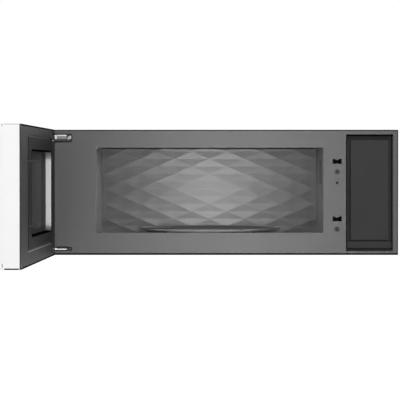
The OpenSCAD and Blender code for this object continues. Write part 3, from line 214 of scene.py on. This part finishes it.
# The finishes by name: colour and roughness first, then what sets each one apart
LOOKS = {
    "white_enamel": dict(colour=(0.91, 0.91, 0.905), rough=0.30, mottle=0.01, grain=0.04, grain_scale=260,
                         coat=0.15, coat_rough=0.15, bevel=0.0012),
    "frame_grey": dict(colour=(0.036, 0.036, 0.036), rough=0.25, mottle=0.04, mottle_scale=14, grain=0.12,
                       grain_scale=1500, spread=0.015, wear_and_sheen=0.12, bevel=0.0008),
    "case_grey": dict(colour=(0.045, 0.045, 0.046), rough=0.42, mottle=0.05, mottle_scale=14, grain=0.16,
                      grain_scale=1500, wear_and_sheen=0.15, bevel=0.001),
    "oven_grey": dict(colour=(0.30, 0.30, 0.302), rough=0.34, metal=0.25, mottle=0.03, grain=0.05,
                      grain_scale=1300, spread=0.02, bevel=0.0006),
    "drawn_steel": dict(colour=(0.032, 0.032, 0.033), rough=0.34, metal=0.3, mottle=0.0, grain=0.0,
                        spread=0.0, bevel=0.0),
    "galvanised": dict(colour=(0.50, 0.51, 0.52), rough=0.38, metal=0.9, mottle=0.16, mottle_scale=90,
                       grain=0.1, grain_scale=400, spread=0.12),
    "bright_steel": dict(colour=(0.44, 0.44, 0.445), rough=0.34, metal=1.0, mottle=0.05, grain=0.12,
                         grain_scale=700, stretch=(1, 1, 0.1), spread=0.08, bevel=0.0007),
    # Its strongly paled edges are a painted highlight round the hinge flanges
    "hinge_steel": dict(colour=(0.42, 0.42, 0.425), rough=0.34, metal=1.0, mottle=0.08, mottle_scale=120,
                        grain=0.15, grain_scale=500, spread=0.06, bevel=0.001, wear_and_sheen=0.6),
    "shaded_steel": dict(colour=(0.14, 0.14, 0.142), rough=0.4, metal=1.0, mottle=0.1, mottle_scale=160,
                         grain=0.15, bevel=0.0006),
    "screw_black": dict(colour=(0.018, 0.018, 0.018), rough=0.4, mottle=0.1, grain=0.1, bevel=0.0005,
                        specular=0.3),
    "key_grey": dict(colour=(0.55, 0.55, 0.54), rough=0.5, mottle=0.0, grain=0.0, spread=0.0, bevel=0.0),
    "flat_black": dict(colour=(0.003, 0.003, 0.003), rough=0.8, grain=0.1, specular=0.0),
    "cover_grey": dict(colour=(0.011, 0.011, 0.011), rough=0.5, mottle=0.06, grain=0.35, grain_scale=2600,
                       bevel=0.0012, specular=0.08),
    "choke_grey": dict(colour=(0.005, 0.005, 0.005), rough=0.5, mottle=0.06, grain=0.35, grain_scale=2600,
                       bevel=0.0012, specular=0.05),
    "tray_glass": dict(colour=(0.28, 0.285, 0.285), rough=0.07, mottle=0.02, grain=0.02, grain_scale=60,
                       spread=0.02, see_through=0.6, bevel=0.001, coat=1.0, coat_rough=0.08),
    "grey_mica": dict(colour=(0.10, 0.098, 0.094), rough=0.4, mottle=0.15, mottle_scale=160, grain=0.15,
                      grain_scale=500),
    "dark_plastic": dict(colour=(0.045, 0.045, 0.045), rough=0.5, mottle=0.06, grain=0.35,
                         grain_scale=2600, bevel=0.0012, specular=0.15),
    "pocket_plastic": dict(colour=(0.010, 0.010, 0.010), rough=0.45, mottle=0.06, grain=0.3,
                           grain_scale=2600, bevel=0.001, specular=0.25),
    "black_plastic": dict(colour=(0.007, 0.007, 0.007), rough=0.5, mottle=0.1, grain=0.25,
                          grain_scale=1800, specular=0.1),
    "white_plastic": dict(colour=(0.78, 0.78, 0.75), rough=0.42, mottle=0.02, grain=0.08, grain_scale=600),
    "black_glass": dict(colour=(0.004, 0.004, 0.005), rough=0.06, mottle=0.1, grain=0.01, grain_scale=60,
                        spread=0.02, bevel=0.0015, specular=0.2),
    "window_film": dict(colour=(0.035, 0.035, 0.036), rough=0.55, mottle=0.1, mottle_scale=400, grain=0.2,
                        grain_scale=1200, specular=0.1),
    "frosted_glass": dict(colour=(0.86, 0.87, 0.84), rough=0.45, mottle=0.02, grain=0.3, grain_scale=700,
                          see_through=0.7),
    "aluminium": dict(colour=(0.72, 0.73, 0.74), rough=0.34, metal=1.0, mottle=0.06, grain=0.14,
                      grain_scale=500, stretch=(0.2, 1, 1), spread=0.1),
    "filter_aluminium": dict(colour=(0.20, 0.20, 0.205), rough=0.45, metal=1.0, mottle=0.1,
                             mottle_scale=200, grain=0.2, grain_scale=500),
    "iron_core": dict(colour=(0.09, 0.09, 0.10), rough=0.5, metal=0.5, mottle=0.2, grain=0.4,
                      grain_scale=1200, stretch=(0.02, 1, 0.02)),
    "winding": dict(colour=(0.35, 0.12, 0.04), rough=0.28, mottle=0.25, mottle_scale=300, grain=0.6,
                    grain_scale=900, stretch=(1, 0.05, 1), coat=0.5),
    "board_green": dict(colour=(0.02, 0.12, 0.05), rough=0.3, mottle=0.2, mottle_scale=250, grain=0.1,
                        coat=0.3),
    "rubber": dict(colour=(0.016, 0.016, 0.016), rough=0.6, mottle=0.1, grain=0.3, grain_scale=1500),
    "ceramic": dict(colour=(0.78, 0.75, 0.68), rough=0.35, mottle=0.04, grain=0.08, grain_scale=500),
}
FINISHES = {name: finish(name, **settings) for name, settings in LOOKS.items()}

# Which finish each solid gets where it isn't its record slot's own
OWN_FINISH = {"cabinet_wrap": "case_grey", "control_pocket": "pocket_plastic", "inner_pane": "window_film",
              "hinge_brackets": "hinge_steel", "glass_tray": "tray_glass", "wave_guide_cover": "grey_mica",
              "door_chassis": "screw_black", "frame_screws": "screw_black", "door_inner_cover": "cover_grey",
              "choke_cover": "choke_grey", "grease_filter_left": "filter_aluminium",
              "grease_filter_right": "filter_aluminium"}
slot_of = {part["node"]: part["material_slot"] for part in frame["record"]["subparts"]}
for name, solid in nodes.items():
    solid.data.materials.clear()
    solid.data.materials.append(FINISHES[OWN_FINISH.get(name, slot_of[name])])

# The door's own frame: x from its hinge edge, y out through its inner face, z up
HINGE = (-0.3715, -0.434)
DOOR_TURN = math.radians(-91.3)
DOOR_START = (-0.007, 0.011)
DOOR_W = 0.757
DOOR_T = 0.040
HALF_H = 0.135


def as_drawn(point):
    """Leaves a point of the shared frame where it is."""
    return point


def on_door(point):
    """Takes a point of the door's own frame to its place on the open door."""
    x, y = point[0] + DOOR_START[0], point[1] + DOOR_START[1]
    return (HINGE[0] + x * math.cos(DOOR_TURN) - y * math.sin(DOOR_TURN),
            HINGE[1] + x * math.sin(DOOR_TURN) + y * math.cos(DOOR_TURN), point[2])


def mesh_piece(name, points, faces, look, body, smooth=False):
    """A mesh object of the given points and faces, in a finish, riding on a body."""
    mesh = bpy.data.meshes.new(name)
    mesh.from_pydata(points, [], faces)
    if smooth:
        mesh.shade_smooth()
    mesh.materials.append(FINISHES[look])
    piece = bpy.data.objects.new(name, mesh)
    bpy.context.scene.collection.objects.link(piece)
    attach(piece, body)
    return piece


def span(x, y, z):
    """A box's lowest and highest corner, from its ranges in x, y and z."""
    return (x[0], y[0], z[0]), (x[1], y[1], z[1])


BOX_FACES = ((0, 1, 3, 2), (4, 6, 7, 5), (0, 4, 5, 1), (2, 3, 7, 6), (0, 2, 6, 4), (1, 5, 7, 3))


def boxes_piece(name, boxes, look, body, place=as_drawn):
    """One piece of several boxes, each given by its lowest and highest corner."""
    points = []
    faces = []
    for low, high in boxes:
        first = len(points)
        points += [place((x, y, z))
                   for x in (low[0], high[0]) for y in (low[1], high[1]) for z in (low[2], high[2])]
        faces += [[first + corner for corner in face] for face in BOX_FACES]
    return mesh_piece(name, points, faces, look, body)


def outline(x, z, radius, steps=6):
    """Points round a rectangle with rounded corners, from its ranges in x and z."""
    corners = ((x[1] - radius, z[1] - radius, 0), (x[0] + radius, z[1] - radius, 90),
               (x[0] + radius, z[0] + radius, 180), (x[1] - radius, z[0] + radius, 270))
    return [(cx + radius * math.cos(math.radians(start + 90 * k / steps)),
             cz + radius * math.sin(math.radians(start + 90 * k / steps)))
            for cx, cz, start in corners for k in range(steps + 1)]


def ring_piece(name, x, z, width, radius, y, look, body, place=as_drawn):
    """A flat ring outside a rounded rectangle, of a width, between two levels of y."""
    inner = outline(x, z, radius)
    outer = outline((x[0] - width, x[1] + width), (z[0] - width, z[1] + width), radius + width)
    count = len(inner)
    points = [place((px, level, pz)) for level in y for row in (inner, outer) for px, pz in row]
    faces = []
    for i in range(count):
        j = (i + 1) % count
        faces += [(i, j, count + j, count + i), (2 * count + i, 3 * count + i, 3 * count + j, 2 * count + j),
                  (i, 2 * count + i, 2 * count + j, j), (count + i, count + j, 3 * count + j, 3 * count + i)]
    return mesh_piece(name, points, faces, look, body)


# Oven back: shallow pressed diamonds, rounded across so that each has one upper and one lower slope
BACK_DEPTH = 0.00055
BACK_SHEET = 0.0006
HALF_X = 0.040
HALF_Z = 0.01715
BACK_MID = (-0.0266, 0.0047)
ROUNDING = 0.15
CELLS = 8
TINY = 1e-6


def slope_across(t):
    """Rises from 0 at a diamond's middle to 1 at its tip, level at the middle."""
    return (math.hypot(t, ROUNDING) - ROUNDING) / (math.hypot(1, ROUNDING) - ROUNDING)


def hollow(x, z):
    """How far the sheet is sunk at a place, from 0 on the diamonds' rims to 1 at their middles."""
    u = (x - BACK_MID[0]) / HALF_X
    v = (z - BACK_MID[1]) / HALF_Z
    column = 2 * math.floor((u + v) / 2) + 1
    row = 2 * math.floor((u - v) / 2) + 1
    left = abs(u - (column + row) / 2)
    high = 1 - abs(v - (column - row) / 2)
    return high * (1 - slope_across(left / high)) if high > TINY else 0.0


def grid_lines(low, high, mid, step):
    """Values from low to high with every step from mid between them."""
    first = math.ceil((low - mid) / step)
    last = math.floor((high - mid) / step)
    inner = [mid + k * step for k in range(first, last + 1)]
    return [low] + [value for value in inner if low + step / 4 < value < high - step / 4] + [high]


back_low, back_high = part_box("oven_back")
across = grid_lines(back_low[0], back_high[0], BACK_MID[0], HALF_X / CELLS)
up = grid_lines(back_low[2], back_high[2], BACK_MID[1], HALF_Z / CELLS)
back_points = [(x, back_low[1] + BACK_DEPTH * hollow(x, z), z) for z in up for x in across]
back_faces = []
# Each cell is split along the diagonal that runs beside the diamonds' rims
for j in range(len(up) - 1):
    for i in range(len(across) - 1):
        a = i + j * len(across)
        b, c, d = a + 1, a + 1 + len(across), a + len(across)
        u = ((across[i] + across[i + 1]) / 2 - BACK_MID[0]) / HALF_X
        v = ((up[j] + up[j + 1]) / 2 - BACK_MID[1]) / HALF_Z
        rises = (math.floor(u) + math.floor(v)) % 2 == 0
        back_faces += [(a, b, c), (a, c, d)] if rises else [(a, b, d), (b, c, d)]
pressed_back = mesh_piece("pressed_back", back_points, back_faces, "drawn_steel", "cabinet",
                          smooth=True)
for crease in pressed_back.data.edges:
    ends = [back_points[v] for v in crease.vertices]
    on_rim = all(end[1] < back_low[1] + TINY for end in ends)
    on_side = any(all(end[0] == side_x for end in ends) for side_x in (across[0], across[-1]))
    crease.use_edge_sharp = on_rim or on_side
thick = pressed_back.modifiers.new("sheet", "SOLIDIFY")
thick.thickness = BACK_SHEET
thick.offset = -1
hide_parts("oven_back")
shine_only_on(back_glow, [pressed_back])
shine_only_on(tray_glint, [nodes["glass_tray"]])
shine_only_on(door_glow, [nodes["door_inner_cover"], nodes["choke_cover"]])

# Front: a dark line along the frame's top and right edges, and a painted shadow as a black ring round each
# hinge flange
FRAME_LOW, FRAME_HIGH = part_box("front_frame")
BORDER = 0.0012
PROUD = 0.0003
ON_FACE = (FACE_Y - PROUD, FACE_Y)
boxes_piece("frame_border", [
    span((FRAME_LOW[0], FRAME_HIGH[0]), ON_FACE, (FRAME_HIGH[2] - BORDER, FRAME_HIGH[2])),
    span((FRAME_HIGH[0] - BORDER, FRAME_HIGH[0]), ON_FACE, (FRAME_LOW[2], FRAME_HIGH[2]))],
    "flat_black", "cabinet")
FLANGE_X = (-0.378, -0.3255)
UPPER_FLANGE_Z = (0.110, 0.124)
LOWER_FLANGE_Z = (-0.1247, -0.1197)
UPPER_SHADOW_RING = 0.0022
LOWER_SHADOW_RING = 0.0016
SHADOW_RING_CORNER = 0.001
ring_piece("upper_hinge_shadow_ring", FLANGE_X, UPPER_FLANGE_Z, UPPER_SHADOW_RING, SHADOW_RING_CORNER, ON_FACE, "flat_black",
           "cabinet")
ring_piece("lower_hinge_shadow_ring", FLANGE_X, LOWER_FLANGE_Z, LOWER_SHADOW_RING, SHADOW_RING_CORNER, ON_FACE, "flat_black",
           "cabinet")

# Hinge flanges: painted shade, grey in a hollow of each and dark round it, marks on the screws, a line over
# the lower
FLANGE_T = 0.0020
FLANGE_FRONT = FACE_Y - FLANGE_T
MARK_Y = (FLANGE_FRONT - 0.0001, FLANGE_FRONT)
STEP_X = (-0.3675, -0.3605)
HOLLOW_X = (-0.3560, -0.3352)
SIDE_END = -0.3320
FLANGE_END = -0.3256
UPPER_HOLLOW_Z = (0.1150, 0.1215)
UPPER_MARK_Z = (0.1101, 0.1239)
UPPER_SIDE_TOP = 0.1217
LOWER_HOLLOW_Z = (-0.1218, -0.1198)
LOWER_MARK_Z = (-0.1246, -0.1198)
LOWER_SHADE_TOP = -0.1238
boxes_piece("hinge_hollow_shades", [span(HOLLOW_X, MARK_Y, UPPER_HOLLOW_Z), span(HOLLOW_X, MARK_Y, LOWER_HOLLOW_Z)],
            "shaded_steel", "cabinet")
boxes_piece("hinge_shades", [
    span(STEP_X, MARK_Y, UPPER_MARK_Z),
    span((STEP_X[1], FLANGE_END), MARK_Y, (UPPER_MARK_Z[0], UPPER_HOLLOW_Z[0])),
    span((HOLLOW_X[1], FLANGE_END), MARK_Y, (UPPER_SIDE_TOP, UPPER_MARK_Z[1])),
    span((HOLLOW_X[1], SIDE_END), MARK_Y, (UPPER_HOLLOW_Z[0], UPPER_SIDE_TOP)),
    span(STEP_X, MARK_Y, LOWER_MARK_Z),
    span((HOLLOW_X[1], FLANGE_END), MARK_Y, LOWER_MARK_Z),
    span((STEP_X[1], HOLLOW_X[1]), MARK_Y, (LOWER_MARK_Z[0], LOWER_SHADE_TOP))],
    "screw_black", "cabinet")
SCREW_Y = (FACE_Y - 0.0030, FACE_Y - 0.0029)
SCREW_X = (-0.3314, -0.3284)
SCREW_Z = (0.1162, 0.1192)
SCREW_RIM = 0.0012
SCREW_CORNER = 0.0014
CAP_X = (-0.3327, -0.3283)
CAP_Z = (-0.1243, -0.1201)
HINGE_LINE_Z = (-0.1197, -0.1170)
ring_piece("upper_screw_rim", SCREW_X, SCREW_Z, SCREW_RIM, SCREW_CORNER, SCREW_Y, "screw_black",
           "cabinet")
boxes_piece("lower_screw_cap", [span(CAP_X, SCREW_Y, CAP_Z)], "screw_black", "cabinet")
boxes_piece("hinge_line", [span((STEP_X[1], SIDE_END), (FLANGE_FRONT, ON_FACE[0]), HINGE_LINE_Z)],
            "flat_black", "cabinet")

# Glass tray: a dark line round the outside of its rim
TRAY_MID = (-0.0266, -0.252)
TRAY_RADIUS = 0.1560
LINE_RADII = (TRAY_RADIUS + 0.0001, TRAY_RADIUS + 0.0006)
LINE_Z = (-0.0806, -0.0789)
TRAY_STEPS = 96
line_corners = ((LINE_RADII[0], LINE_Z[0]), (LINE_RADII[0], LINE_Z[1]),
                (LINE_RADII[1], LINE_Z[1]), (LINE_RADII[1], LINE_Z[0]))
tray_ring = [(TRAY_MID[0] + radius * math.cos(math.tau * k / TRAY_STEPS),
              TRAY_MID[1] + radius * math.sin(math.tau * k / TRAY_STEPS), z)
             for radius, z in line_corners for k in range(TRAY_STEPS)]
tray_faces = []
for row in range(len(line_corners)):
    here = row * TRAY_STEPS
    there = (row + 1) % len(line_corners) * TRAY_STEPS
    tray_faces += [(here + k, here + (k + 1) % TRAY_STEPS, there + (k + 1) % TRAY_STEPS, there + k)
                   for k in range(TRAY_STEPS)]
mesh_piece("tray_line", tray_ring, tray_faces, "screw_black", "tray")

# Control pocket: a painted shadow as a black line along its upper, lower and left edges
POCKET_X = (0.2673, 0.3689)
POCKET_Z = (-0.1255, 0.1213)
POCKET_SHADOW_Z = (-0.1268, 0.1250)
POCKET_SHADOW_WIDTH = 0.0022
boxes_piece("pocket_shadow_lines", [
    span(POCKET_X, ON_FACE, (POCKET_Z[1], POCKET_SHADOW_Z[1])),
    span(POCKET_X, ON_FACE, (POCKET_SHADOW_Z[0], POCKET_Z[0])),
    span((POCKET_X[0], POCKET_X[0] + POCKET_SHADOW_WIDTH), ON_FACE, POCKET_Z)],
    "flat_black", "cabinet")

# Door: black along the upper and lower edges of its inner face
INNER_Y = (-0.0004, PROUD)
EDGE_X = (0.001, DOOR_W - 0.0005)
EDGE_Z = (HALF_H - 0.003, HALF_H - 0.0002)
boxes_piece("door_edges", [
    span(EDGE_X, INNER_Y, EDGE_Z),
    span(EDGE_X, INNER_Y, (-EDGE_Z[1], -EDGE_Z[0]))],
    "flat_black", "door", on_door)

# Door's free end: painted shade as a dark line along its lower edge and a pale grey one along its upper, and
# a mark in each outer corner
END_X = (DOOR_W, DOOR_W + 0.0001)
END_Y = (-DOOR_T + 0.0085, -0.0040)
CORNER_Y = (-DOOR_T + 0.0044, -DOOR_T + 0.0053)
boxes_piece("end_shadow_and_marks", [
    span(END_X, END_Y, (-HALF_H, -HALF_H + 0.0026)),
    span(END_X, CORNER_Y, (-HALF_H + 0.0040, -HALF_H + 0.0110)),
    span(END_X, CORNER_Y, (HALF_H - 0.0040, HALF_H - 0.0008))],
    "flat_black", "door", on_door)
boxes_piece("end_shade", [span(END_X, END_Y, (HALF_H - 0.0018, HALF_H))],
            "key_grey", "door", on_door)

# Window: painted shadow as a black ring round it, and as a black lining inside the choke frame's bright ring
WINDOW_X = (0.100, 0.560)
WINDOW_Z = (-0.080, 0.088)
WINDOW_RADIUS = 0.019
WINDOW_SHADOW_WIDTH = 0.0012
CHOKE_COVER_Y = 0.001
ring_piece("window_shadow_ring", WINDOW_X, WINDOW_Z, WINDOW_SHADOW_WIDTH, WINDOW_RADIUS, (CHOKE_COVER_Y, CHOKE_COVER_Y + PROUD),
           "flat_black", "door", on_door)
RING_Z = (WINDOW_Z[0] + 0.001, WINDOW_Z[1] - 0.001)
SHADOW_LINING = 0.0008
SHADOW_LINING_X = (WINDOW_X[0] + WINDOW_RADIUS, WINDOW_X[1] - WINDOW_RADIUS)
SHADOW_LINING_Y = (-0.0108, 0.0009)
RIM_Y = (0.0005, SHADOW_LINING_Y[1])
boxes_piece("window_shadow_lining", [
    span(SHADOW_LINING_X, SHADOW_LINING_Y, (RING_Z[1] - SHADOW_LINING, RING_Z[1])),
    span(SHADOW_LINING_X, RIM_Y, (RING_Z[1], WINDOW_Z[1])),
    span(SHADOW_LINING_X, SHADOW_LINING_Y, (RING_Z[0], RING_Z[0] + SHADOW_LINING)),
    span(SHADOW_LINING_X, RIM_Y, (WINDOW_Z[0], RING_Z[0]))],
    "flat_black", "door", on_door)

# Choke cover: a painted highlight as a light line under its lower edge
CHOKE_X = (0.091, 0.615)
CHOKE_HIGHLIGHT_Z = (-0.1072, -0.1060)
boxes_piece("choke_edge_highlight", [span(CHOKE_X, INNER_Y, CHOKE_HIGHLIGHT_Z)], "galvanised", "door", on_door)

# Grease filters: sheets of expanded aluminium mesh over the pads
MESH_X = 0.0060
MESH_Y = 0.0035
MESH_WIRE = 0.0010
MESH_LIFT = 0.0008
FILTER_RIM = 0.009
for side in ("left", "right"):
    low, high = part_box("grease_filter_" + side)
    columns = int((high[0] - low[0] - 2 * FILTER_RIM) / MESH_X)
    rows = int((high[1] - low[1] - 2 * FILTER_RIM) / MESH_Y)
    mid = ((low[0] + high[0]) / 2, (low[1] + high[1]) / 2)
    mesh_points = [(mid[0] + (i - columns / 2) * MESH_X, mid[1] + (j - rows / 2) * MESH_Y, low[2] + MESH_LIFT)
                   for j in range(rows + 1) for i in range(columns + 1)]
    cells = []
    for j in range(1, rows):
        for i in range(1, columns):
            if (i + j) % 2:
                middle = i + j * (columns + 1)
                cells.append((middle - 1, middle - columns - 1, middle + 1, middle + columns + 1))
    sheet = mesh_piece("filter_mesh_" + side, mesh_points, cells, "aluminium", "filter_" + side)
    wires = sheet.modifiers.new("wires", "WIREFRAME")
    wires.thickness = MESH_WIRE
    wires.use_even_offset = False

# Keypad and display on the door's control glass: plain numbers in plain type
CONTROL_MID = 0.6845
KEY_PITCH = (0.026, 0.022)
KEY_TOP = 0.030
KEY_SIZE = 0.011
CLOCK_Z = 0.078
CLOCK_SIZE = 0.017
PRINT_LIFT = 0.00003
KEYS = ("1", "2", "3", "4", "5", "6", "7", "8", "9", "0")


def printed(name, text, size, x, z):
    """A printed number on the door's control glass, centred on a place in the door's own frame."""
    data = bpy.data.curves.new(name, "FONT")
    data.body = text
    data.size = size
    data.align_x = "CENTER"
    data.align_y = "CENTER"
    label = bpy.data.objects.new(name, data)
    bpy.context.scene.collection.objects.link(label)
    shape = label.to_mesh()
    points = [on_door((x + v.co[0], -DOOR_T - PRINT_LIFT, z + v.co[1])) for v in shape.vertices]
    faces = [tuple(face.vertices) for face in shape.polygons]
    label.to_mesh_clear()
    bpy.data.objects.remove(label)
    return mesh_piece(name, points, faces, "key_grey", "door")


for index, digit in enumerate(KEYS):
    key_column = index % 3 if digit != "0" else 1
    printed("key_" + digit, digit, KEY_SIZE, CONTROL_MID + (key_column - 1) * KEY_PITCH[0],
            KEY_TOP - (index // 3) * KEY_PITCH[1])
printed("clock_digits", "12:00", CLOCK_SIZE, CONTROL_MID, CLOCK_Z)

# Floor: pale, holds the object's shadow, glows up to white where it is seen, and is clear from below
FLOOR_HALF = 60.0
FLOOR_COLOUR = (0.82, 0.82, 0.82, 1)
FLOOR_GLOW = 0.85
floor_mesh = bpy.data.meshes.new("floor")
floor_mesh.from_pydata([(-FLOOR_HALF, -FLOOR_HALF, FLOOR_Z), (FLOOR_HALF, -FLOOR_HALF, FLOOR_Z),
                        (FLOOR_HALF, FLOOR_HALF, FLOOR_Z), (-FLOOR_HALF, FLOOR_HALF, FLOOR_Z)],
                       [], [(0, 1, 2, 3)])
floor = bpy.data.objects.new("floor", floor_mesh)
bpy.context.scene.collection.objects.link(floor)
floor_look = bpy.data.materials.new("pale_floor")
floor_look.use_nodes = True
ground = floor_look.node_tree
ground.nodes.clear()
matt = node(ground, "ShaderNodeBsdfDiffuse", inputs={"Color": FLOOR_COLOUR})
glow = node(ground, "ShaderNodeEmission", inputs={"Color": WHITE, "Strength": FLOOR_GLOW})
glow_seen = node(ground, "ShaderNodeMixShader")
dark = node(ground, "ShaderNodeEmission", inputs={"Color": BLACK, "Strength": 0.0})
both = node(ground, "ShaderNodeAddShader")
under = node(ground, "ShaderNodeBsdfTransparent")
facing = node(ground, "ShaderNodeNewGeometry")
two_faced = node(ground, "ShaderNodeMixShader")
ground_out = node(ground, "ShaderNodeOutputMaterial")
ground.links.new(white_for_seen_rays(ground), glow_seen.inputs[0])
ground.links.new(dark.outputs[0], glow_seen.inputs[1])
ground.links.new(glow.outputs[0], glow_seen.inputs[2])
ground.links.new(matt.outputs[0], both.inputs[0])
ground.links.new(glow_seen.outputs[0], both.inputs[1])
ground.links.new(facing.outputs["Backfacing"], two_faced.inputs[0])
ground.links.new(both.outputs[0], two_faced.inputs[1])
ground.links.new(under.outputs[0], two_faced.inputs[2])
ground.links.new(two_faced.outputs[0], ground_out.inputs[0])
floor_mesh.materials.append(floor_look)
